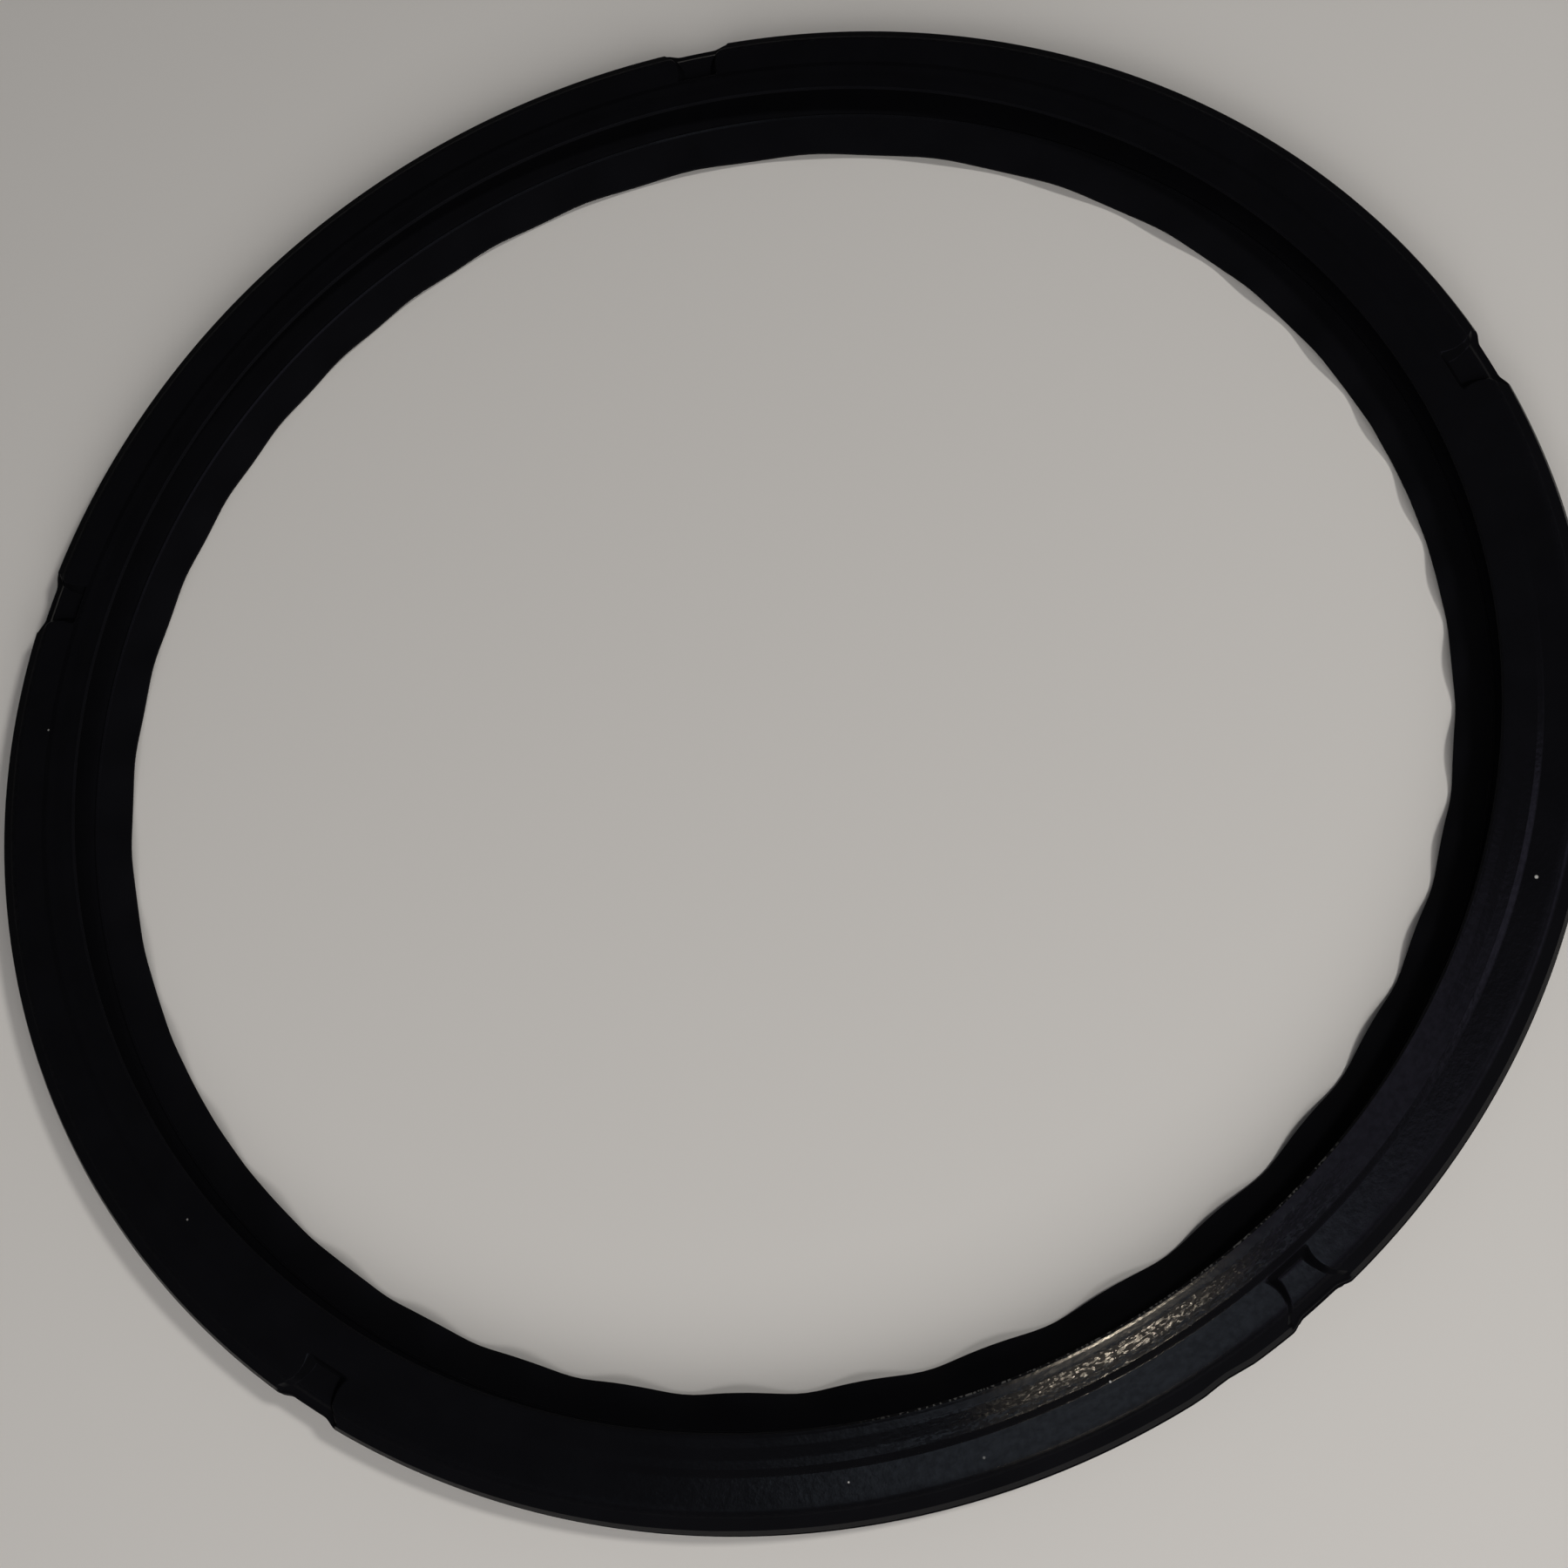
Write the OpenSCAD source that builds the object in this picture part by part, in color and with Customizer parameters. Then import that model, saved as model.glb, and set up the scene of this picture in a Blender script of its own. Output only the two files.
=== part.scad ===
// Door gasket: one moulded rubber ring with a C-shaped section that opens inwards.
// The ring lies flat on its heel. Z = 0 is the heel's flat underside, and Z is the ring's axis.
// The first rim notch is on +X.

/* [Ring] */
// Outer diameter of the rim
rim_d = 240; // [200:1:320]
// Height from the heel's underside to the crest of the top lip, before its edge is rounded
crest_h = 9.08; // [9:0.02:9.6]

/* [Rim and heel] */
// Height of the lower edge of the rim's upright face
rim_low = 4.8; // [4.5:0.1:5]
// Height of the upper edge of the rim's upright face
rim_top = 6; // [5.8:0.1:6.2]
// Radius that rounds both edges of the upright face
rim_round = 0.3; // [0.2:0.05:0.35]
// Distance from the rim in to the top of its steep edge
edge_in = 0.4; // [0.3:0.05:0.5]
// Height of the top of the steep edge
edge_h = 6.8; // [6.7:0.05:6.9]
// Distance from the rim in to the brow, where the shoulder turns down
brow_in = 1; // [0.9:0.05:1.2]
// Height of the brow
brow_h = 7.4; // [7.3:0.05:7.5]
// How far the heel's underside stands in from the rim
heel_inset = 3.4; // [2.5:0.1:4.5]

/* [Top bands] */
// Height of the outer band above the underside
band_h = 8.35; // [8.25:0.05:8.45]
// Distance from the rim in to the top of the shoulder
shoulder_in = 2.8; // [2.7:0.1:3]
// Radius that rounds the top of the shoulder
shoulder_round = 2.5; // [1.5:0.1:2.6]
// Distance from the rim in to the step up to the inner band
step_in = 7.15; // [7.1:0.05:7.3]
// Width of the step
step_w = 0.85; // [0.7:0.05:0.95]
// Height of the step
step_h = 0.25; // [0.15:0.05:0.3]
// Distance from the rim in to the crest
crest_in = 12.8; // [12.6:0.1:13.2]

/* [Channel] */
// Distance from the rim in to the back wall of the channel
channel_in = 8; // [7.6:0.1:8.4]
// Thickness of the top lip at the crest
lip_top_t = 1.5; // [1.2:0.1:1.8]
// Height of the channel's ceiling at its back wall
channel_top = 6.5; // [6.2:0.1:6.6]

/* [Wavy lower lip] */
// Distance from the rim in to the lip's mean free edge
lip_in = 19.25; // [18.5:0.25:19.75]
// Distance from the rim in to the bend where the lip starts to slope and wave
lip_bend_in = 13.8; // [13.4:0.1:14]
// Height of the lip's middle surface at the bend
lip_bend_h = 2.2; // [2.1:0.1:2.5]
// Height of the lip's middle surface at its mean free edge
lip_edge_h = 1.15; // [1.15:0.05:1.5]
// Thickness of the lip at the bend
lip_t = 1.3; // [1:0.1:1.6]
// Thickness of the lip at its free edge
lip_edge_t = 0.6; // [0.5:0.05:0.7]
// Waves round the free edge
waves = 39; // [24:1:48]
// Mean swing of the lip about its slope, in degrees
wave_swing = 5.5; // [3:0.1:5.5]
// How much the swing grows on one side of the ring and shrinks on the other, in degrees
wave_swing_more = 2.25; // [0:0.05:2.25]

/* [Notches and pockets] */
// Notches round the rim, each with its pocket in the outer band
notches = 5; // [3:1:8]
// How far the notches drift from an even spread, in degrees
notch_drift = 0.75; // [0:0.05:1]
// Depth of a notch in the rim
notch_d = 0.75; // [0.5:0.05:0.85]
// Half the width over which a notch is open
notch_half_w = 5.6; // [5:0.1:6]
// Half the width of a notch's flat bottom
notch_flat_half_w = 2.95; // [2.5:0.05:3.5]
// Depth of a pocket below the outer band
pocket_d = 1; // [0.8:0.05:1.1]
// Distance from the rim in to a pocket's inner wall, at the outer band
pocket_in = 6.9; // [6.7:0.05:6.95]
// How far a pocket's inner wall leans out on its way down to the floor
pocket_wall_run = 0.55; // [0.3:0.05:0.7]
// Radius of the tongue ends that bow into a pocket, at the outer band
tongue_r = 3.15; // [3:0.05:3.25]
// Radius of the tongue ends at the pocket's floor
tongue_floor_r = 4.35; // [4:0.05:4.5]
// Distance from a pocket's middle line to the centre of a tongue end
tongue_x = 6.25; // [6.1:0.05:6.4]

/* [Dent in the rim] */
// Depth of the dent
dent_d = 0.35; // [0.2:0.05:0.5]
// Half the length of the dent
dent_half_w = 4.8; // [4:0.1:6]
// Where round the ring the dent is, in degrees from the first notch
dent_at = 279.4; // [270:0.1:282]

/* [Hidden] */
$fn = 180;
rubber = "#15161a";
rim_r = rim_d / 2;
// Straight pieces in each rounded corner of the section
arc_steps = 4;
// Two more corners of the inner band, which climbs less and less towards the crest:
// how far in from the rim, and how far below the crest
climb = [9.1, 0.31];
level = [11, 0.07];
channel_round = 0.8;
// The channel's mouth leans out on its way down from the crest
front_lean = 0.3;
// A pocket's floor runs out to the shoulder, then falls to a little below the steep edge's top
pocket_floor_in = 2.8;
pocket_fall_in = 1.4;
pocket_fall = 0.1;
// Distance from a pocket's inner wall out to the centres of its tongue ends
tongue_inset = 2.15;
// Half the width over which a pocket cuts the shoulder
pocket_half_w = 5.4;
// The lip's root is sunk this far into the heel, behind the channel's wall
root_sink = 1.8;
root_t = 2.6;
root_h = 2.1;
// Rings of points from the bend to the free edge, and stations to each wave
lip_rings = 4;
stations_per_wave = 6;
// The waves bunch and spread round the ring: harmonic, drift in degrees, start in degrees
wave_drift = [[1, 120, 100], [2, 130, 50], [3, 80, 45]];
wave_start = 80;
// Where round the ring the waves are tallest
tallest_at = 280;
// Half the length of the dent's flat middle
dent_flat_half_w = 0.3;
// Straight pieces in each sloping side of a notch or of the dent
side_steps = 10;
// Slack by which cutting tools run past what they cut
past = 2;
rise = 0.3;
rim_slack = 0.05;

function unit(v) = v / norm(v);
function wrap(a) = a > 180 ? a - 360 : (a < -180 ? a + 360 : a);
function mix(a, b, t) = a + (b - a) * t;
function total(list, i = 0) = i < len(list) ? list[i] + total(list, i + 1) : 0;

// The arc of radius r that rounds corner c between its neighbours p and n
function corner_arc(p, c, n, r) =
    let (u = unit(p - c),
         v = unit(n - c),
         half = acos(u * v) / 2,
         centre = c + unit(u + v) * r / sin(half),
         from = c + u * r / tan(half) - centre,
         to = c + v * r / tan(half) - centre,
         start = atan2(from[1], from[0]),
         turn = wrap(atan2(to[1], to[0]) - start))
    [for (i = [0:arc_steps])
        let (a = start + turn * i / arc_steps)
        centre + r * [cos(a), sin(a)]];

// An outline of [radius, height, rounding] corners, with each corner rounded
function rounded(corners) =
    let (count = len(corners),
         at = [for (c = corners) [c[0], c[1]]])
    [for (i = [0:count - 1])
        each corners[i][2] == 0
            ? [at[i]]
            : corner_arc(at[(i + count - 1) % count], at[i], at[(i + 1) % count], corners[i][2])];

// Heel, rim, top bands, crest and channel, from the heel's underside round to the channel
function body_section() =
    let (step_r = rim_r - step_in,
         crest_r = rim_r - crest_in,
         wall_r = rim_r - channel_in)
    [[rim_r - heel_inset, 0, 0.5],
     [rim_r, rim_low, rim_round],
     [rim_r, rim_top, rim_round],
     [rim_r - edge_in, edge_h, 0.3],
     [rim_r - brow_in, brow_h, 0.6],
     [rim_r - shoulder_in, band_h, shoulder_round],
     [step_r, band_h, 0.25],
     [step_r - step_w, band_h + step_h, 0.6],
     [rim_r - climb[0], crest_h - climb[1], 1],
     [rim_r - level[0], crest_h - level[1], 1],
     [crest_r, crest_h, 0.2],
     [crest_r + front_lean, crest_h - lip_top_t, 0.4],
     [wall_r, channel_top, channel_round],
     [wall_r, 0, 0.4]];

// The height of a pocket's floor, and of the tool that cuts the pocket
pocket_floor_z = band_h - pocket_d;
pocket_tool_z = band_h + rise;

// What a pocket takes away: all that is above its floor and its fall to the steep edge
function pocket_section() =
    let (wall_r = rim_r - pocket_in,
         lean = pocket_wall_run / pocket_d)
    [[wall_r - lean * rise, pocket_tool_z],
     [wall_r + pocket_wall_run, pocket_floor_z],
     [rim_r - pocket_floor_in, pocket_floor_z],
     [rim_r - pocket_fall_in, edge_h - pocket_fall],
     [rim_r + past, edge_h - pocket_fall],
     [rim_r + past, pocket_tool_z]];

// The lip's swing at angle a round the ring, in degrees up or down from its mean slope
function swing(a) =
    (wave_swing + wave_swing_more * cos(a - tallest_at))
    * cos(waves * a + wave_start + total([for (d = wave_drift) d[1] * sin(d[0] * a + d[2])]));

// Middle of the lip at fraction t from the bend to the free edge, swung about the bend.
// The lip curls, so its swing grows with t.
function lip_point(a, t) =
    let (reach = lip_in - lip_bend_in,
         fall = lip_bend_h - lip_edge_h,
         length = norm([reach, fall]) * t,
         slope = atan2(fall, reach) - swing(a) * t)
    [rim_r - lip_bend_in - length * cos(slope), lip_bend_h - length * sin(slope)];

// The lip's section at angle a: out along its top, round the edge, and back underneath
function lip_section(a) =
    let (root = [rim_r - channel_in + root_sink, root_h],
         middle = [for (i = [0:lip_rings]) lip_point(a, i / lip_rings)],
         half_t = [for (i = [0:lip_rings]) mix(lip_t, lip_edge_t, i / lip_rings) / 2],
         edge = middle[lip_rings] - [lip_edge_t / 3, 0])
    [[root[0], root[1] + root_t / 2],
     for (i = [0:lip_rings]) middle[i] + [0, half_t[i]],
     edge,
     for (i = [lip_rings:-1:0]) middle[i] - [0, half_t[i]],
     [root[0], root[1] - root_t / 2]];

// The heel with the rim, the top lip and the channel
module body() {
    rotate_extrude() polygon(rounded(body_section()));
}

// The thin lower lip, swept round the ring with its waves
module wavy_lip() {
    stations = waves * stations_per_wave;
    sections = [for (s = [0:stations - 1]) lip_section(360 * s / stations)];
    count = len(sections[0]);
    points = [for (s = [0:stations - 1]) for (p = sections[s])
        let (a = 360 * s / stations)
        [p[0] * cos(a), p[0] * sin(a), p[1]]];
    faces = [for (s = [0:stations - 1]) for (i = [0:count - 1])
        let (here = s * count,
             next = ((s + 1) % stations) * count,
             j = (i + 1) % count)
        for (half = [[here + i, here + j, next + j], [here + i, next + j, next + i]]) half];
    polyhedron(points, faces);
}

// A pocket's length of the ring, less the two tongue ends, whose sides spread towards its floor
module pocket_length() {
    spread = (tongue_floor_r - tongue_r) / pocket_d;
    difference() {
        translate([rim_r - pocket_in - past, -pocket_half_w, 0])
            cube([pocket_in + 2 * past, 2 * pocket_half_w, pocket_tool_z]);
        for (side = [-1, 1])
            translate([rim_r - pocket_in + tongue_inset, side * tongue_x, pocket_floor_z - past])
                cylinder(
                    h = past + pocket_d + 2 * rise,
                    r1 = tongue_floor_r + spread * past,
                    r2 = tongue_r - spread * 2 * rise
                );
    }
}

// Everything that the pockets take away
module pockets() {
    intersection() {
        rotate_extrude() polygon(pocket_section());
        round_the_ring() pocket_length();
    }
}

// A smooth rise from 0 to 1 as t goes from 0 to 1
function smooth(t) = t * t * (3 - 2 * t);

// A cut into the rim, seen from above: a flat bottom between two S-shaped sides
module rim_cut(depth, half_w, flat_half_w) {
    side = [for (i = [0:side_steps])
        let (t = i / side_steps,
             r = rim_r + rim_slack - (depth + rim_slack) * smooth(t),
             y = mix(half_w, flat_half_w, t))
        [sqrt(r * r - y * y), y]];
    polygon([
        [rim_r + past, half_w],
        for (p = side) p,
        for (i = [side_steps:-1:0]) [side[i][0], -side[i][1]],
        [rim_r + past, -half_w],
    ]);
}

module rim_notches() {
    round_the_ring()
        translate([0, 0, -past])
            linear_extrude(crest_h + 2 * past)
                rim_cut(notch_d, notch_half_w, notch_flat_half_w);
}

module rim_dent() {
    rotate(dent_at)
        translate([0, 0, -past])
            linear_extrude(crest_h + 2 * past)
                rim_cut(dent_d, dent_half_w, dent_flat_half_w);
}

module round_the_ring() {
    for (i = [0:notches - 1])
        rotate(i * 360 / notches + notch_drift * sin(i * 360 / notches)) children();
}

module gasket() {
    color(rubber)
        union() {
            difference() {
                body();
                pockets();
                rim_notches();
                rim_dent();
            }
            wavy_lip();
        }
}

gasket();
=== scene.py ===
import math

import bpy
import numpy as np
from mathutils import Matrix, Vector


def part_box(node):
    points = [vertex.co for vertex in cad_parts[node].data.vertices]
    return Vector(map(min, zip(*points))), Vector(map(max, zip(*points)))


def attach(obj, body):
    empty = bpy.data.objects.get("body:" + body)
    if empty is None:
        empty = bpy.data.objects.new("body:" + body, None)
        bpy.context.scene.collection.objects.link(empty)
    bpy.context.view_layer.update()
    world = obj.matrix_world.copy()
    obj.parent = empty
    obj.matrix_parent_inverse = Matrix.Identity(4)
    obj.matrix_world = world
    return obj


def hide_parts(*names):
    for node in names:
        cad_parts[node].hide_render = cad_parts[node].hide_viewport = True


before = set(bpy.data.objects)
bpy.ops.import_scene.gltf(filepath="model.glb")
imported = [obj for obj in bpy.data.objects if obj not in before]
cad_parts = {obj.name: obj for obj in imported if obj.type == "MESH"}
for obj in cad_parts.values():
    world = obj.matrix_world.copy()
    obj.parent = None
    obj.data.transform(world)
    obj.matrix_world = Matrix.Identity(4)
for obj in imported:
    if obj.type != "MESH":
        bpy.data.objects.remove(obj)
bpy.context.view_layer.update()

# --- Sizes, in millimetres unless a name says otherwise -------------------------------------
MM = 0.001
_, box_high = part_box("gasket")
RIM_R = box_high.y / MM
CREST_TOP = box_high.z / MM

# The rim's upright face, and the steep edge between it and the shoulder
RIM_FACE_LOW = 4.8
RIM_FACE_TOP = 6.35
RIM_ROUND = 0.12
# The rim is drawn this much smaller, to stay within the facets of the plain model
RIM_HAIR = 0.01
EDGE_IN = 0.48
EDGE_H = 7.4
EDGE_ROUND = 0.12
SHOULDER_IN = 2.45
SHOULDER_ROUND = 2.5
BAND_H = 8.35
# A small step up parts the outer band from the inner band, which climbs, then levels near the crest
STEP_IN = 7.15
STEP_W = 0.95
STEP_H = 0.28
CLIMB_IN = 9.3
CLIMB_DROP = 0.375
LEVEL_IN = 10.9
LEVEL_DROP = 0.15
CREST_IN = 12.5
CREST_ROUND = 0.12
# A fine raised edge runs along the crest
CREST_EDGE_W = 0.42
CREST_EDGE_H = 0.056
# The rounded crest ends a little below the corner that it rounds
CREST_CORNER_H = CREST_TOP + 0.004
# A small bevel leads from the crest to its front
BEVEL_W = 0.38
BEVEL_H = 0.26
# The front leans back under the crest, down the thickness of the top lip
FRONT_LEAN = 0.6
LIP_TOP_T = 1.5
HEEL_INSET = 3.4
CHANNEL_IN = 8.0
CHANNEL_TOP = 6.5

# The lower lip: where it bends, where its free edge is, and its thickness at both
LIP_BEND_IN = 13.8
LIP_BEND_H = 2.2
LIP_IN = 19.34
LIP_EDGE_H = 1.15
LIP_T = 1.3
LIP_EDGE_T = 0.6
# The lip is a little thicker at its root: how far its top rises there, and how high its underside is
LIP_ROOT_RISE = 0.3
LIP_ROOT_LOW = 1.0
# Its free edge slants back by this much underneath, and no part of it is as high as the next height
LIP_EDGE_SLANT = 0.2
LIP_BELOW_H = 5.0
# A low bead runs round the lip along its bend, between a higher foot and a lower one
BEAD_W = 0.5
BEAD_H = 0.14
BEAD_FOOT_W = 0.1
BEAD_FOOT_RISE = 0.02
BEAD_FOOT_FALL = 0.06

# The lower lip's waves: their number and start, and their swing and how much that varies, in degrees
WAVES = 39
WAVE_START = 80
WAVE_SWING = 5.5
WAVE_SWING_MORE = 2.25
TALLEST_AT = 280
# Harmonic, size and start in degrees: how far the waves drift round the ring
WAVE_DRIFT = ((1, 120, 100), (2, 130, 50), (3, 80, 45))
# Harmonic, size in millimetres, start in degrees: how far the free edge wanders from a true circle
LIP_WANDER = ((1, 0.48, -132), (2, 0.33, -60), (3, 0.05, -60))

# Where the notches lie round the ring, in degrees: not quite evenly spread
NOTCHES_AT = (-0.35, 72.56, 144.34, 215.86, 286.94)
# A notch: how deep, and half its width at the rim and along its flat bottom
NOTCH_D = 0.75
NOTCH_HALF_W = 5.3
NOTCH_FLAT_HALF_W = 2.75
# The shoulder follows a notch inwards as far as this
PULL_IN = 2.8
# Below this height a notch only trims what stands out past its floor
NOTCH_LOW = 4.6
# The pocket behind it: how far in it reaches, how deep it is, the run of its inner wall, where its floor
# starts to fall towards the rim, and the height to which it falls
POCKET_IN = 7.1
POCKET_D = 1.0
POCKET_WALL_RUN = 0.7
POCKET_FLOOR_IN = 2.45
POCKET_MOUTH_H = 6.6
# Tongue ends bow into a pocket; their sides spread towards its floor
TONGUE_R = 4.5
TONGUE_FLOOR_R = 5.85
TONGUE_X = 7.8
TONGUE_INSET = 2.35
TONGUE_FLOOR_INSET = 0.85
# Out by the rim a tongue end comes no nearer than this to the line of its centre
TONGUE_FLARE = 2.3
# The least width of a tongue's side wall, out by the rim
MOUTH_WALL_W = 0.9
# A pocket is sunk only into what lies higher than this, and no further in from the rim than this
POCKET_REACH_H = 5.8
POCKET_REACH_IN = 7.4
# Its side walls start and end this share of their width away from the floor's and the mouth's mesh lines
WALL_MARGIN = 0.04
# Half the length of rim over which the mesh follows a pocket, and the inset at which that is measured
ZONE_HALF_W = 9.5
ZONE_IN = 4.0
# A shallow dent in the rim: depth, half length, and where round the ring, in degrees
DENT_D = 0.35
DENT_HALF_W = 4.8
DENT_AT = 279.4
# Dust: angle round the ring in degrees, radius, size, and how strongly it covers the rubber
SPECKS = (
    (318.9, 114.6, 0.55, 1.0),
    (155.4, 113.0, 0.35, 0.5),
    (199.9, 111.1, 0.35, 0.4),
    (254.4, 114.6, 0.3, 1.0),
    (263.4, 115.5, 0.4, 0.3),
    (272.9, 112.8, 0.35, 0.8),
)
# A speck is solid out to the first share of its size and gone at the second
SPECK_CORE = 0.3
SPECK_EDGE = 0.55
# Over this arc the inner band is worn and pale dots on the crest's bevel are painted glints: its middle
# and half its length, in degrees
WORN_AT = 276
WORN_HALF = 19

# The mesh's rows may lie this far apart: on a pocket's inner wall and floor, over the rest of the outer
# band, on the crest's raised edge, along the lip, and elsewhere
ROW_GAP_WALL = 0.07
ROW_GAP_FLOOR = 0.19
ROW_GAP_BAND = 0.45
ROW_GAP_CREST = 0.12
ROW_GAP_LIP = 0.8
ROW_GAP = 1.6
# Rows nearer than this to the end of a stretch are left out
LEAST_GAP = 0.02
# Where those stretches are: above this height, this far to each side of the middle of the pocket's inner
# wall, as far in from the rim as this, and from this far outside the crest's raised edge
TOP_ROWS_H = 5.4
WALL_ROWS_HALF_W = 0.455
FLOOR_ROWS_IN = 2.85
CREST_ROWS_MARGIN = 0.05
# The mesh's lines across the ring: how many from one pocket to the next, and on a pocket's side wall
LINES_BETWEEN = 69
LINES_ON_WALL = 12


# --- The section ----------------------------------------------------------------------------
def corner_arc(before, corner, after, radius, steps):
    """The points of the arc that rounds a corner between its two neighbours."""
    u = (before - corner) / np.linalg.norm(before - corner)
    v = (after - corner) / np.linalg.norm(after - corner)
    half = math.acos(np.clip(u @ v, -1, 1)) / 2
    middle = (u + v) / np.linalg.norm(u + v)
    centre = corner + middle * radius / math.sin(half)
    start = corner + u * radius / math.tan(half) - centre
    end = corner + v * radius / math.tan(half) - centre
    first = math.atan2(start[1], start[0])
    turn = math.atan2(end[1], end[0]) - first
    turn = (turn + math.pi) % (2 * math.pi) - math.pi
    angles = first + turn * np.linspace(0, 1, steps + 1)
    return centre + radius * np.stack([np.cos(angles), np.sin(angles)], 1)


def section_corners():
    """The C-shaped section as [radius, height, rounding, arc steps], from the heel round the rim."""
    bead_r = RIM_R - LIP_BEND_IN
    edge_r = RIM_R - LIP_IN
    lip_top = LIP_BEND_H + LIP_T / 2
    lip_low = LIP_BEND_H - LIP_T / 2
    root_r = RIM_R - CHANNEL_IN
    step_r = RIM_R - STEP_IN
    crest_r = RIM_R - CREST_IN
    return [
        (RIM_R - HEEL_INSET, 0.0, 0.5, 4),
        (RIM_R - RIM_HAIR, RIM_FACE_LOW, 0.3, 3),
        (RIM_R - RIM_HAIR, RIM_FACE_TOP, RIM_ROUND, 3),
        (RIM_R - EDGE_IN, EDGE_H, EDGE_ROUND, 4),
        (RIM_R - SHOULDER_IN, BAND_H, SHOULDER_ROUND, 8),
        (step_r, BAND_H, 0.25, 3),
        (step_r - STEP_W, BAND_H + STEP_H, 0.6, 4),
        (RIM_R - CLIMB_IN, CREST_TOP - CLIMB_DROP, 4.0, 4),
        (RIM_R - LEVEL_IN, CREST_TOP - LEVEL_DROP, 4.0, 4),
        (crest_r + CREST_EDGE_W, CREST_CORNER_H - CREST_EDGE_H, 0.5, 2),
        (crest_r, CREST_CORNER_H, CREST_ROUND, 6),
        (crest_r - BEVEL_W, CREST_CORNER_H - BEVEL_H, 0.08, 3),
        (crest_r + FRONT_LEAN, CREST_CORNER_H - LIP_TOP_T, 0.4, 4),
        (root_r, CHANNEL_TOP, 0.8, 4),
        (root_r, lip_top + LIP_ROOT_RISE, 0.5, 4),
        (bead_r + BEAD_W, lip_top + BEAD_FOOT_RISE, 0.15, 2),
        (bead_r + BEAD_W / 2, lip_top + BEAD_H, 0.12, 3),
        (bead_r - BEAD_FOOT_W, lip_top - BEAD_FOOT_FALL, 0.15, 2),
        (edge_r, LIP_EDGE_H + LIP_EDGE_T / 2, 0.2, 3),
        (edge_r + LIP_EDGE_SLANT, LIP_EDGE_H - LIP_EDGE_T / 2, 0.2, 3),
        (bead_r, lip_low, 0.6, 3),
        (root_r, LIP_ROOT_LOW, 0.3, 2),
        (root_r, 0.0, 0.3, 3),
    ]


def spacing(point):
    """How far apart the section's rows may be at a point: closest where a pocket's walls cross them."""
    inset = RIM_R - point[0]
    on_top = point[1] > TOP_ROWS_H
    if on_top and abs(inset - POCKET_IN + POCKET_WALL_RUN / 2) < WALL_ROWS_HALF_W:
        return ROW_GAP_WALL
    if on_top and inset < FLOOR_ROWS_IN:
        return ROW_GAP_FLOOR
    if on_top and inset < STEP_IN:
        return ROW_GAP_BAND
    if on_top and CREST_IN - CREST_EDGE_W - CREST_ROWS_MARGIN < inset < CREST_IN:
        return ROW_GAP_CREST
    if inset > LIP_BEND_IN and not on_top:
        return ROW_GAP_LIP
    return ROW_GAP


def section_rows():
    """Every row of the section as an array of [radius, height]."""
    corners = section_corners()
    at = [np.array(c[:2]) for c in corners]
    outline = []
    for i, (_, _, radius, steps) in enumerate(corners):
        outline.extend(corner_arc(at[i - 1], at[i], at[(i + 1) % len(at)], radius, steps))
    rows = []
    for here, there in zip(outline, outline[1:] + outline[:1]):
        rows.append(here)
        step = there - here
        length = np.linalg.norm(step)
        along = spacing(here + step * min(1, LEAST_GAP / length))
        while along < length - LEAST_GAP:
            point = here + step * along / length
            rows.append(point)
            along += spacing(point)
    return np.array(rows)


# --- Notches, pockets and waves -------------------------------------------------------------
def smooth(t):
    """An S-shaped rise from 0 to 1."""
    t = np.clip(t, 0, 1)
    return t * t * (3 - 2 * t)


def tongue_edge(radius, tongue_r, inset):
    """Half the width between two tongue ends at a radius: their round ends bow into the pocket."""
    across = np.maximum(radius, RIM_R - POCKET_IN) - (RIM_R - POCKET_IN + inset)
    return TONGUE_X - np.sqrt(np.maximum(tongue_r**2 - across**2, TONGUE_FLARE**2))


def station_lines():
    """Where the mesh's lines cross the ring: [pocket angle, place] near a pocket, else [angle, none].

    A place counts 0 at a pocket's middle, 1 at its floor's edge, 2 at its mouth's edge and 3 where
    the lines are plain radii again.
    """
    half = np.concatenate([
        [0, 0.45, 0.61, 0.7, 0.8, 0.9, 0.96],
        np.linspace(1, 2, LINES_ON_WALL),
        [2.02, 2.05, 2.1, 2.17, 2.26, 2.38, 2.52, 2.68, 2.85, 3],
    ])
    places = np.concatenate([-half[:0:-1], half])
    zone = math.degrees(ZONE_HALF_W / (RIM_R - ZONE_IN))
    middles = [*NOTCHES_AT, NOTCHES_AT[0] + 360]
    angles, marks = [], []
    for here, there in zip(middles, middles[1:]):
        angles.extend([here] * len(places))
        marks.extend(places)
        between = np.linspace(here + zone, there - zone, LINES_BETWEEN)[1:-1]
        angles.extend(between)
        marks.extend([np.nan] * len(between))
    return np.radians(angles), np.array(marks)


def swing(angle):
    """The lower lip's swing round the ring, in radians up from its mean slope."""
    degrees = np.degrees(angle)
    drift = sum(size * np.sin(np.radians(h * degrees + start)) for h, size, start in WAVE_DRIFT)
    height = WAVE_SWING + WAVE_SWING_MORE * np.cos(np.radians(degrees - TALLEST_AT))
    return np.radians(height) * np.cos(np.radians(WAVES * degrees + WAVE_START + drift))


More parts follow.
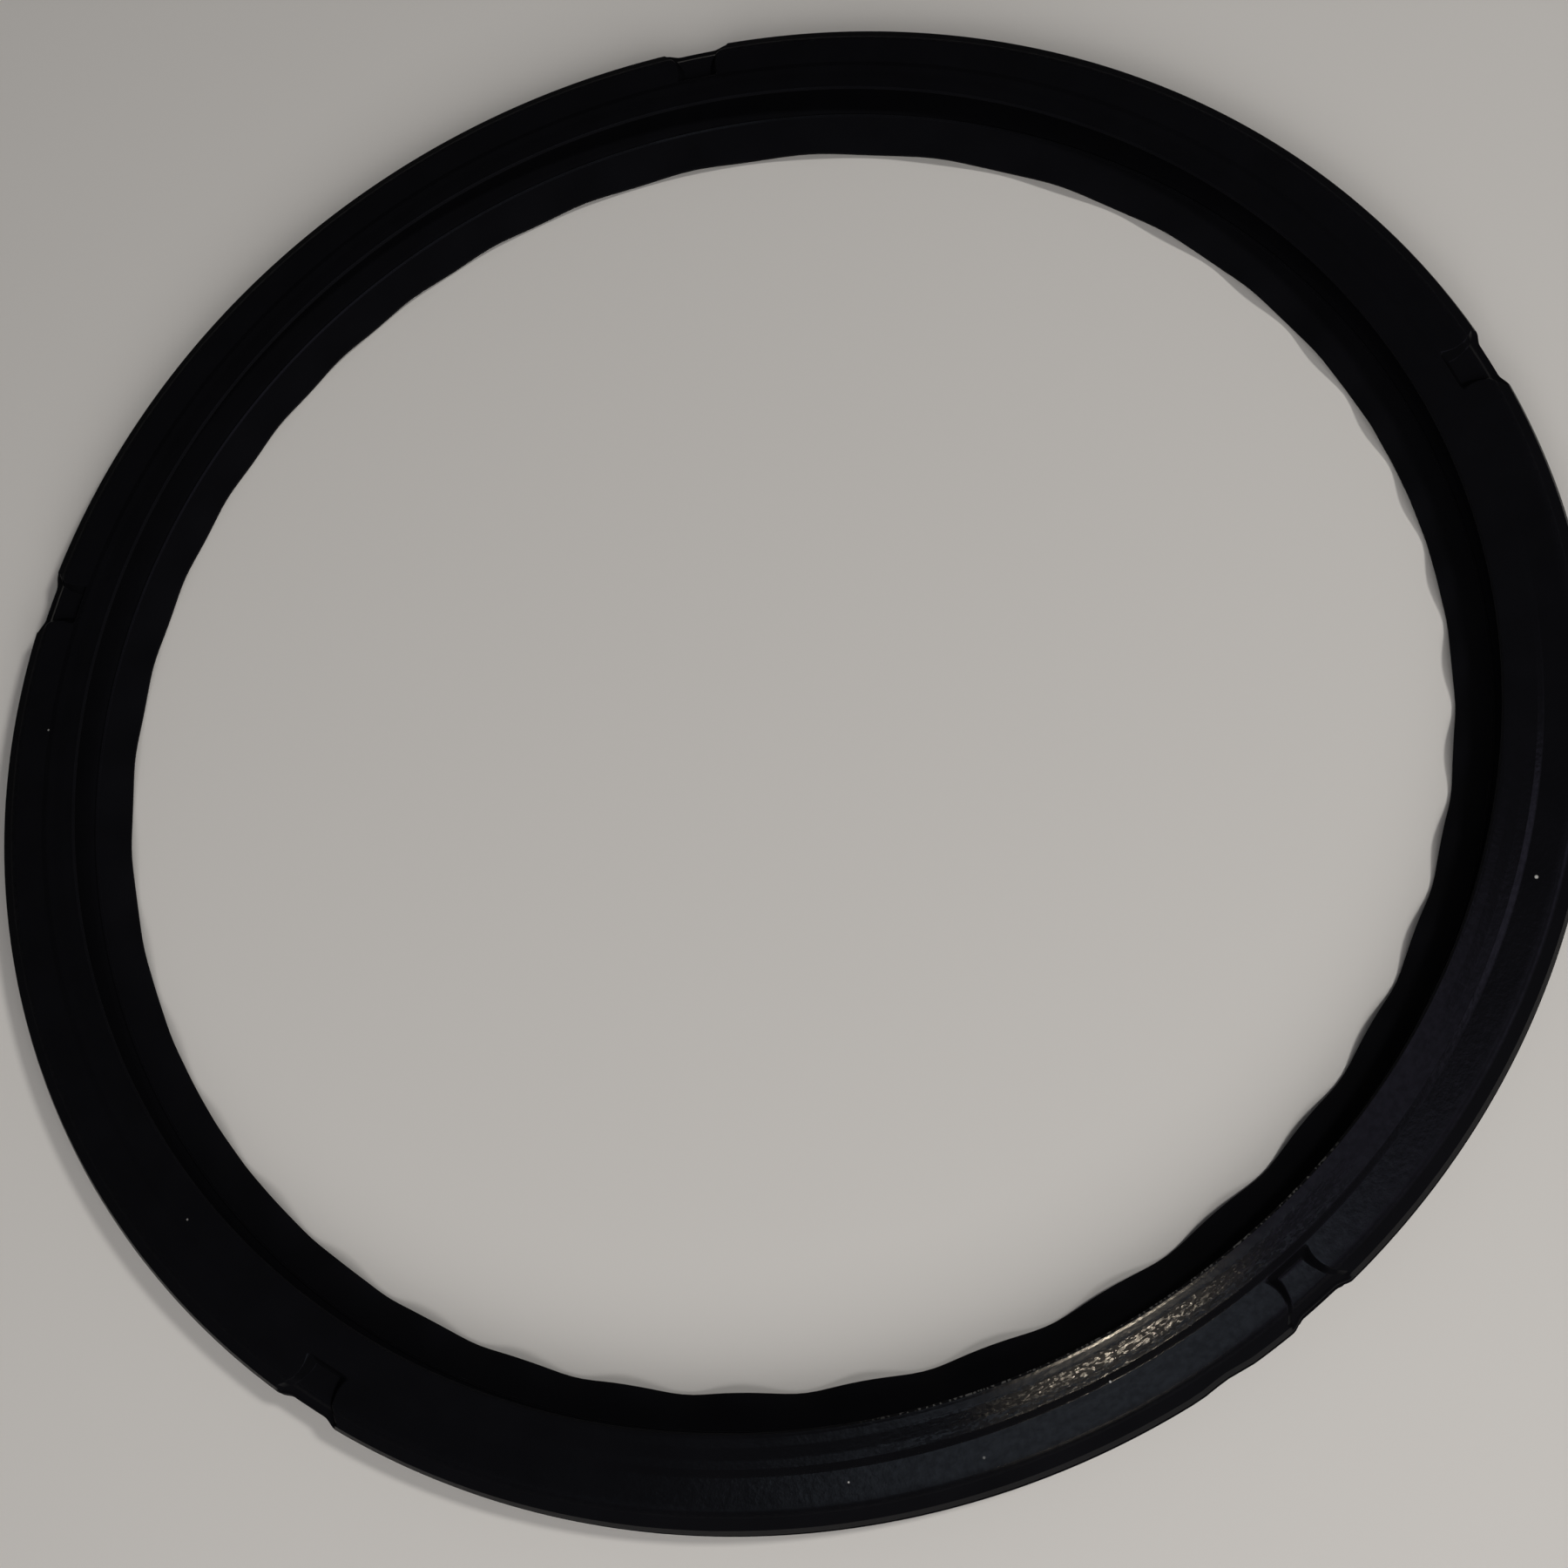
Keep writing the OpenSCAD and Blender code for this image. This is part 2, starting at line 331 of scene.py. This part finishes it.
def wave_lip(radius, height, angle):
    """Swings the points of the lower lip about its bend, more towards the free edge."""
    reach = LIP_IN - LIP_BEND_IN
    fall = LIP_BEND_H - LIP_EDGE_H
    on_lip = (height < LIP_BELOW_H) & (radius < RIM_R - LIP_BEND_IN)
    t = np.where(on_lip, (RIM_R - LIP_BEND_IN - radius) / reach, 0)
    wander = sum(size * np.cos(h * angle - math.radians(start)) for h, size, start in LIP_WANDER)
    length = math.hypot(reach, fall) * t
    slope = math.atan2(fall, reach)
    swung = slope - swing(angle) * t
    radius = radius - length * (np.cos(swung) - math.cos(slope))
    height = height - length * (np.sin(swung) - math.sin(slope))
    return radius + wander * t, height


def notch_depth(x):
    """How far a notch cuts into the rim at distance x from its middle: flat, with S-shaped shoulders."""
    return NOTCH_D * smooth((NOTCH_HALF_W - np.abs(x)) / (NOTCH_HALF_W - NOTCH_FLAT_HALF_W))


def dent_depth(angle):
    """How far the rim is dented at an angle round the ring."""
    away = RIM_R * np.abs((angle - math.radians(DENT_AT) + math.pi) % (2 * math.pi) - math.pi)
    return DENT_D * smooth(1 - away / DENT_HALF_W)


def pocket_height(radius):
    """Height of a pocket's floor, and of its fall from the shoulder to the rim's ledge."""
    fall = np.clip((radius - (RIM_R - POCKET_FLOOR_IN)) / (POCKET_FLOOR_IN - EDGE_IN), 0, 1)
    floor_h = BAND_H - POCKET_D
    return floor_h + (POCKET_MOUTH_H - floor_h) * fall


# --- The mesh -------------------------------------------------------------------------------
def gasket_points():
    """The ring as a grid of points: stations round the ring by rows round the section."""
    rows = section_rows()
    angle_0, place = station_lines()
    base_r, base_z = rows[None, :, 0], rows[None, :, 1]
    near = ~np.isnan(place)[:, None]
    mark = np.where(near, np.nan_to_num(place)[:, None], 3)
    side, out = np.sign(mark), np.abs(mark)

    mouth_x = tongue_edge(base_r, TONGUE_R, TONGUE_INSET)
    floor_x = np.minimum(tongue_edge(base_r, TONGUE_FLOOR_R, TONGUE_FLOOR_INSET), mouth_x - MOUTH_WALL_W)
    zone_x = base_r * ZONE_HALF_W / (RIM_R - ZONE_IN)
    on_wall = floor_x + (out - 1) * (mouth_x - floor_x)
    outside = mouth_x + (out - 2) * (zone_x - mouth_x)
    x = np.where(out < 1, out * floor_x, np.where(out < 2, on_wall, outside))
    angle = angle_0[:, None] + np.where(near, side * x / base_r, 0)
    radius = base_r + 0 * angle
    height = base_z + 0 * angle

    on_top = (base_z > POCKET_REACH_H) & (base_r > RIM_R - POCKET_REACH_IN)
    up_wall = np.clip((out - 1 - WALL_MARGIN) / (1 - 2 * WALL_MARGIN), 0, 1)
    across = 1 - (up_wall + smooth(up_wall)) / 2
    inward = smooth((base_r - (RIM_R - POCKET_IN)) / POCKET_WALL_RUN)
    sunk = np.where(on_top & near, across * inward, 0)
    floor_h = np.minimum(pocket_height(base_r), base_z)
    height = height + (floor_h - base_z) * sunk

    cut = np.where(near, notch_depth(x), 0) + dent_depth(angle)
    pull = smooth((base_r - (RIM_R - PULL_IN)) / (PULL_IN - EDGE_IN))
    radius = np.where(
        base_z > NOTCH_LOW,
        radius - cut * pull,
        np.minimum(radius, RIM_R - cut),
    )
    radius, height = wave_lip(radius, height, angle)
    return np.stack([radius * np.cos(angle), radius * np.sin(angle), height], 2)


def closed_grid_mesh(name, points):
    """A mesh from a grid of points that closes on itself both ways."""
    stations, rows = points.shape[:2]
    index = np.arange(stations * rows).reshape(stations, rows)
    ahead = np.roll(index, -1, 0)
    corners = [index, ahead, np.roll(ahead, -1, 1), np.roll(index, -1, 1)]
    faces = np.stack(corners, 2).reshape(-1, 4)
    mesh = bpy.data.meshes.new(name)
    mesh.from_pydata((points.reshape(-1, 3) * MM).tolist(), [], faces.tolist())
    mesh.polygons.foreach_set("use_smooth", [True] * len(faces))
    mesh.update()
    return mesh


def make_gasket():
    points = gasket_points()
    mesh = closed_grid_mesh("gasket_rubber", points)
    ring = bpy.data.objects.new("gasket_rubber", mesh)
    bpy.context.collection.objects.link(ring)
    evened = ring.modifiers.new("even_flats", "WEIGHTED_NORMAL")
    evened.mode = "FACE_AREA"
    ring.data.materials.append(moulded_rubber())
    return ring


# --- Materials ------------------------------------------------------------------------------
def linear(hex_colour):
    """An sRGB hex colour as linear RGBA."""
    parts = [int(hex_colour[i : i + 2], 16) / 255 for i in (0, 2, 4)]
    return tuple(c / 12.92 if c <= 0.04045 else ((c + 0.055) / 1.055) ** 2.4 for c in parts) + (1.0,)


def add_node(tree, kind, inputs=None, **settings):
    """Adds one node: inputs maps a socket's name or number to a value or to another node's output."""
    node = tree.nodes.new(kind)
    for name, value in settings.items():
        setattr(node, name, value)
    for socket, value in (inputs or {}).items():
        if isinstance(value, bpy.types.NodeSocket):
            tree.links.new(value, node.inputs[socket])
        else:
            node.inputs[socket].default_value = value
    return node


def new_material(name):
    material = bpy.data.materials.new(name)
    material.use_nodes = True
    material.node_tree.nodes.clear()
    return material, material.node_tree


# Sizes of the rubber's patterns, in millimetres: the patches where its tint shifts, and its moulding
# grain, which is really under 0.1 mm and is drawn this coarse so that it shows
PATCH = 25 / 3
GRAIN = 2 / 3
# Patterns drawn out along the ring: length round it, width across it, and how many finer steps they have
RING_PATTERNS = {
    "specks": (5 / 12, 2 / 3, 0),
    "wear": (5 / 6, 5 / 17, 2),
    "tilt": (5 / 4, 1 / 2, 1),
    "mottle": (10 / 9, 10 / 11, 2),
}
# The radius at which those lengths are true
PATTERN_R = 110.0
# Depths of the grain's relief and of the worn band's, and how much of the latter shows elsewhere
GRAIN_DEPTH = 0.1
GRAIN_STRENGTH = 0.15
TILT_DEPTH = 0.04
TILT_ELSEWHERE = 0.2
# Rings of the skin: how far in from the rim each starts and ends, and half the width over which it
# fades. The lip's reaches well past its free edge
SKIN_RINGS = {
    "outer_band": (3.2, POCKET_IN + 0.2, 0.1),
    "pocket": (3.0, POCKET_IN + 0.2, 0.5),
    "inner_band": (STEP_IN + STEP_W, CREST_IN - CREST_EDGE_W, 0.2),
    "worn_ring": (STEP_IN + STEP_W, LEVEL_IN + 0.3, 0.2),
    "crest": (CREST_IN - CREST_EDGE_W, CREST_IN + 0.2, 0.05),
    "bevel": (CREST_IN + 0.05, CREST_IN + BEVEL_W, 0.04),
    "bead": (LIP_BEND_IN - BEAD_W, LIP_BEND_IN + 0.1, 0.05),
    "lip": (CREST_IN + 0.15, 30.0, 0.1),
}


def moulded_rubber():
    """Carbon-black rubber, press moulded: nearly black, its satin skin broken up on the inner band."""
    material, tree = new_material("moulded_black_rubber")
    place = add_node(tree, "ShaderNodeTexCoord").outputs["Object"]
    to_mm = (1 / MM, 1 / MM, 0)
    flat = add_node(tree, "ShaderNodeVectorMath", {0: place, 1: to_mm}, operation="MULTIPLY").outputs[0]
    radius = add_node(tree, "ShaderNodeVectorMath", {0: flat}, operation="LENGTH").outputs["Value"]
    outward = add_node(tree, "ShaderNodeVectorMath", {0: flat}, operation="NORMALIZE").outputs[0]
    normal = add_node(tree, "ShaderNodeNewGeometry").outputs["Normal"]
    upward = add_node(tree, "ShaderNodeSeparateXYZ", {0: normal}).outputs["Z"]
    outwardness = add_node(
        tree, "ShaderNodeVectorMath", {0: normal, 1: outward}, operation="DOT_PRODUCT"
    ).outputs["Value"]
    middle = math.radians(WORN_AT)
    to_worn = (math.cos(middle), math.sin(middle), 0)
    along_arc = add_node(
        tree, "ShaderNodeVectorMath", {0: outward, 1: to_worn}, operation="DOT_PRODUCT"
    ).outputs["Value"]

    # The skin's named values: its patterns, masks from 0 to 1, and numbers that change over it
    skin = {}
    for name, (length, width, detail) in RING_PATTERNS.items():
        around = add_node(
            tree, "ShaderNodeVectorMath", {0: outward, 3: PATTERN_R / length}, operation="SCALE"
        ).outputs[0]
        across = add_node(tree, "ShaderNodeMath", {0: radius, 1: 1 / width}, operation="MULTIPLY").outputs[0]
        up = add_node(tree, "ShaderNodeCombineXYZ", {"Z": across}).outputs[0]
        drawn_out = add_node(tree, "ShaderNodeVectorMath", {0: around, 1: up}, operation="ADD").outputs[0]
        noise = add_node(tree, "ShaderNodeTexNoise", {"Vector": drawn_out, "Scale": 1.0, "Detail": detail})
        skin[name] = noise.outputs["Fac"]
    for name, (start, end, fade) in SKIN_RINGS.items():
        edges = []
        for edge in (RIM_R - end, RIM_R - start):
            ramp = {"Value": radius, "From Min": edge - fade, "From Max": edge + fade}
            edges.append(add_node(tree, "ShaderNodeMapRange", ramp).outputs["Result"])
        skin[name] = add_node(
            tree, "ShaderNodeMath", {0: edges[0], 1: edges[1]}, operation="SUBTRACT", use_clamp=True
        ).outputs[0]

    # What follows one value: the value, where it starts and ends, and what it gives there
    arc_end = math.cos(math.radians(WORN_HALF))
    ramps = {
        "leaning": (upward, 0.62, 0.9, 1, 0),
        "off_level": (upward, 0.88, 0.98, 1, 0),
        "shoulder": (radius, RIM_R - 2.3, RIM_R - 1.9, 0, 1),
        "off_upright": (upward, 0.12, 0.2, 0, 1),
        "steeper": (upward, 0.5, 0.6, 1, 0),
        "faces_out": (outwardness, 0.5, 0.65, 0, 1),
        "near_rim": (radius, RIM_R - 1.9, RIM_R - 1.6, 0, 1),
        "worn_arc": (along_arc, arc_end - 0.01, arc_end + 0.02, 0, 1),
        "painted_glint_dots": (skin["specks"], 0.55, 0.6, 0, 0.24),
        "plain_roughness": (radius, RIM_R - 3.6, RIM_R - 2.8, 0.17, 0.28),
        "worn_roughness": (skin["wear"], 0.47, 0.5, 0.17, 0.4),
        "plain_gloss": (skin["mottle"], 0.35, 0.65, 0.4, 0.6),
    }
    for name, (value, start, end, at_start, at_end) in ramps.items():
        ramp = {"Value": value, "From Min": start, "From Max": end, "To Min": at_start, "To Max": at_end}
        skin[name] = add_node(tree, "ShaderNodeMapRange", ramp).outputs["Result"]
    # Walls are whatever leans; on the outer band, which is level, the least lean is one
    walls = {"Factor": skin["outer_band"], "A": skin["leaning"], "B": skin["off_level"]}
    skin["walls"] = add_node(tree, "ShaderNodeMix", walls).outputs["Result"]
    # Masks that are two others multiplied
    for name, first, second in (
        # The walls of a pocket, where the tint is darkened as painted shade
        ("painted_pocket_wall_shade", "walls", "pocket"),
        ("steep", "off_upright", "steeper"),
        ("steep_rim", "steep", "faces_out"),
        ("rim_edge", "steep_rim", "near_rim"),
        ("worn_band", "worn_arc", "worn_ring"),
        # Pale dots painted only on the lamp-lit arc of the bevel: painted glints
        ("worn_arc_glint_dots", "worn_arc", "painted_glint_dots"),
        ("dust_and_glints", "worn_arc_glint_dots", "bevel"),
    ):
        skin[name] = add_node(
            tree, "ShaderNodeMath", {0: skin[first], 1: skin[second]}, operation="MULTIPLY"
        ).outputs[0]

    # Painted glint dots on the bevel, with the real dust specks added to them
    dust_and_glints = skin["dust_and_glints"]
    for angle, at, size, cover in SPECKS:
        turn = math.radians(angle)
        centre = (at * math.cos(turn), at * math.sin(turn), 0)
        away = add_node(
            tree, "ShaderNodeVectorMath", {0: flat, 1: centre}, operation="DISTANCE"
        ).outputs["Value"]
        ramp = {"Value": away, "From Min": size * SPECK_CORE, "From Max": size * SPECK_EDGE}
        ramp |= {"To Min": cover, "To Max": 0}
        speck = add_node(tree, "ShaderNodeMapRange", ramp).outputs["Result"]
        dust_and_glints = add_node(tree, "ShaderNodeMath", {0: dust_and_glints, 1: speck}, operation="ADD").outputs[0]
    patches = add_node(
        tree, "ShaderNodeTexNoise", {"Vector": place, "Scale": 1 / (PATCH * MM), "Detail": 3.0}
    )
    # Bluish black with paler patches, painted shade on pocket walls, pale grey dust, painted glint dots
    tint = linear("0b0b0d")
    for mask, colour in (
        (patches.outputs["Fac"], "101013"),
        # Painted shade: the walls of a pocket a little darker
        (skin["painted_pocket_wall_shade"], "0a0a0c"),
        # Pale grey: real dust specks, and the dots that are painted glints
        (dust_and_glints, "b7b6b3"),
    ):
        tint = add_node(
            tree, "ShaderNodeMixRGB", {"Fac": mask, "Color1": tint, "Color2": linear(colour)}
        ).outputs["Color"]

    # Each zone's roughness and how strongly it mirrors, laid over those before it; none means no change
    roughness, gloss = skin["plain_roughness"], skin["plain_gloss"]
    for name, rough, mirror in (
        ("shoulder", 0.6, 0.02),
        ("inner_band", 0.2, None),
        ("worn_band", skin["worn_roughness"], None),
        ("crest", 0.15, None),
        ("walls", 0.8, 0.0),
        ("lip", 0.7, 0.12),
        ("bevel", 0.6, 0.08),
        ("bead", 0.25, 0.5),
        ("rim_edge", 0.4, 0.09),
    ):
        mix = {"Factor": skin[name], "A": roughness, "B": rough}
        roughness = add_node(tree, "ShaderNodeMix", mix).outputs["Result"]
        if mirror is not None:
            mix = {"Factor": skin[name], "A": gloss, "B": mirror}
            gloss = add_node(tree, "ShaderNodeMix", mix).outputs["Result"]

    grain = add_node(tree, "ShaderNodeTexNoise", {"Vector": place, "Scale": 1 / (GRAIN * MM), "Detail": 2.0})
    tilt_share = add_node(
        tree, "ShaderNodeMix", {"Factor": skin["worn_band"], "A": TILT_ELSEWHERE, "B": 1.0}
    ).outputs["Result"]
    tilt = add_node(
        tree, "ShaderNodeMath", {0: skin["tilt"], 1: tilt_share}, operation="MULTIPLY"
    ).outputs[0]
    relief = add_node(
        tree,
        "ShaderNodeBump",
        {"Strength": GRAIN_STRENGTH, "Distance": GRAIN_DEPTH * MM, "Height": grain.outputs["Fac"]},
    )
    relief = add_node(
        tree,
        "ShaderNodeBump",
        {"Strength": 1.0, "Distance": TILT_DEPTH * MM, "Height": tilt, "Normal": relief.outputs["Normal"]},
    )
    shader = add_node(
        tree,
        "ShaderNodeBsdfPrincipled",
        {
            "Base Color": tint,
            "Roughness": roughness,
            "IOR": 1.5,
            "Specular IOR Level": gloss,
            "Normal": relief.outputs["Normal"],
        },
    )
    add_node(tree, "ShaderNodeOutputMaterial", {"Surface": shader.outputs["BSDF"]})
    return material


def painted_board():
    """Board under pale matt paint: plain and soft, it shows the eye nothing but shadow."""
    material, tree = new_material("pale_painted_board")
    shader = add_node(
        tree,
        "ShaderNodeBsdfPrincipled",
        {"Base Color": linear("dedbd8"), "Roughness": 0.8},
    )
    add_node(tree, "ShaderNodeOutputMaterial", {"Surface": shader.outputs["BSDF"]})
    return material


# --- The studio: places and sizes in metres, angles in degrees ------------------------------
FLOOR_HALF = 3.0
WORLD_COLOUR = "dcdce0"
WORLD_STRENGTH = 0.085
CENTRE = (0, 0, 0)
# Soft lights: name, place, aim, size, brightness, colour, and whether it shows only in the rubber's
# sheen or else lights only the matt surfaces
SOFT_LIGHTS = (
    ("lamp", (0.776, -0.372, 1.229), CENTRE, (0.16, 0.16), 67, "fffdf8", False),
    ("window", (-0.1, -0.75, 0.55), CENTRE, (0.8, 0.6), 2.8, "fffdfa", False),
    ("cool_sheen", (-0.02, 0.02, 1.0), (-0.02, 0.02, 0), (0.29, 0.28), 0.31, "dcebff", True),
    ("violet_sheen", (0.28, -0.08, 1.0), (0.28, -0.08, 0), (0.30, 0.40), 0.15, "dcd4ff", True),
    ("side_sheen", (0.9, -0.45, 0.8), CENTRE, (0.8, 0.8), 0.25, "dcd6ff", True),
)
# A narrow lamp that only glints on the worn band
GLINT_PLACE = (0.0265, -0.1995, 1.0)
GLINT_AIM = (0.0083, -0.1086, 0.009)
GLINT_POWER = 2.9
GLINT_R = 0.005
GLINT_CONE = 3.0
GLINT_COLOUR = "fff0d8"
# Its pool is longer along the rim than across it
GLINT_SQUEEZE = 0.27


def make_floor():
    mesh = bpy.data.meshes.new("floor")
    signs = ((-1, -1), (1, -1), (1, 1), (-1, 1))
    corners = [(x * FLOOR_HALF, y * FLOOR_HALF, 0) for x, y in signs]
    mesh.from_pydata(corners, [], [(0, 1, 2, 3)])
    floor = bpy.data.objects.new("floor", mesh)
    bpy.context.collection.objects.link(floor)
    mesh.materials.append(painted_board())


def hang_light(name, data, place, aim, in_sheen):
    """Hangs a light that either shows only in the sheen or lights only the matt surfaces."""
    light = bpy.data.objects.new(name, data)
    light.location = place
    light.rotation_euler = (Vector(aim) - Vector(place)).to_track_quat("-Z", "Y").to_euler()
    light.visible_glossy = in_sheen
    light.visible_diffuse = not in_sheen
    bpy.context.collection.objects.link(light)
    return light


def make_lights():
    world = bpy.data.worlds.new("studio")
    world.use_nodes = True
    background = world.node_tree.nodes["Background"].inputs
    background["Color"].default_value = linear(WORLD_COLOUR)
    background["Strength"].default_value = WORLD_STRENGTH
    bpy.context.scene.world = world
    world.cycles_visibility.glossy = False
    for name, place, aim, size, brightness, colour, in_sheen in SOFT_LIGHTS:
        data = bpy.data.lights.new(name, "AREA")
        data.shape = "RECTANGLE"
        data.size, data.size_y = size
        # A larger light of the same brightness needs more power
        data.energy = 4 * size[0] * size[1] * brightness
        data.color = linear(colour)[:3]
        hang_light(name, data, place, aim, in_sheen)
    data = bpy.data.lights.new("lamp_glint", "SPOT")
    data.energy = GLINT_POWER
    data.shadow_soft_size = GLINT_R
    data.spot_size = math.radians(GLINT_CONE)
    data.spot_blend = 1.0
    data.color = linear(GLINT_COLOUR)[:3]
    glint = hang_light("lamp_glint", data, GLINT_PLACE, GLINT_AIM, True)
    glint.scale = (1, GLINT_SQUEEZE, 1)


# Camera: its place round the ring's centre in degrees and rim radii, and its aim in rim radii
CAMERA_AZIMUTH = -86.49
CAMERA_ELEVATION = 63.07
CAMERA_DISTANCE = 3.2403
CAMERA_AIM = (-0.0091, -0.1201)
CAMERA_ROLL = -28.91
CAMERA_LENS = 60.0
RIM_EDGE_H = 6.3


def make_camera():
    centre = Vector((0, 0, RIM_EDGE_H * MM))
    rim = RIM_R * MM
    azimuth, elevation = math.radians(CAMERA_AZIMUTH), math.radians(CAMERA_ELEVATION)
    out = Vector((
        math.cos(elevation) * math.cos(azimuth),
        math.cos(elevation) * math.sin(azimuth),
        math.sin(elevation),
    ))
    place = centre + out * CAMERA_DISTANCE * rim
    aim = centre + Vector((*CAMERA_AIM, 0)) * rim
    data = bpy.data.cameras.new("camera")
    data.lens = CAMERA_LENS
    camera = bpy.data.objects.new("camera", data)
    level = (aim - place).to_track_quat("-Z", "Y").to_matrix().to_4x4()
    roll = Matrix.Rotation(math.radians(CAMERA_ROLL), 4, "Z")
    camera.matrix_world = Matrix.Translation(place) @ level @ roll
    bpy.context.collection.objects.link(camera)
    bpy.context.scene.camera = camera


make_camera()
make_floor()
make_lights()
gasket = make_gasket()
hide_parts("gasket")
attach(gasket, "root")
bpy.context.scene.view_settings.view_transform = "Standard"
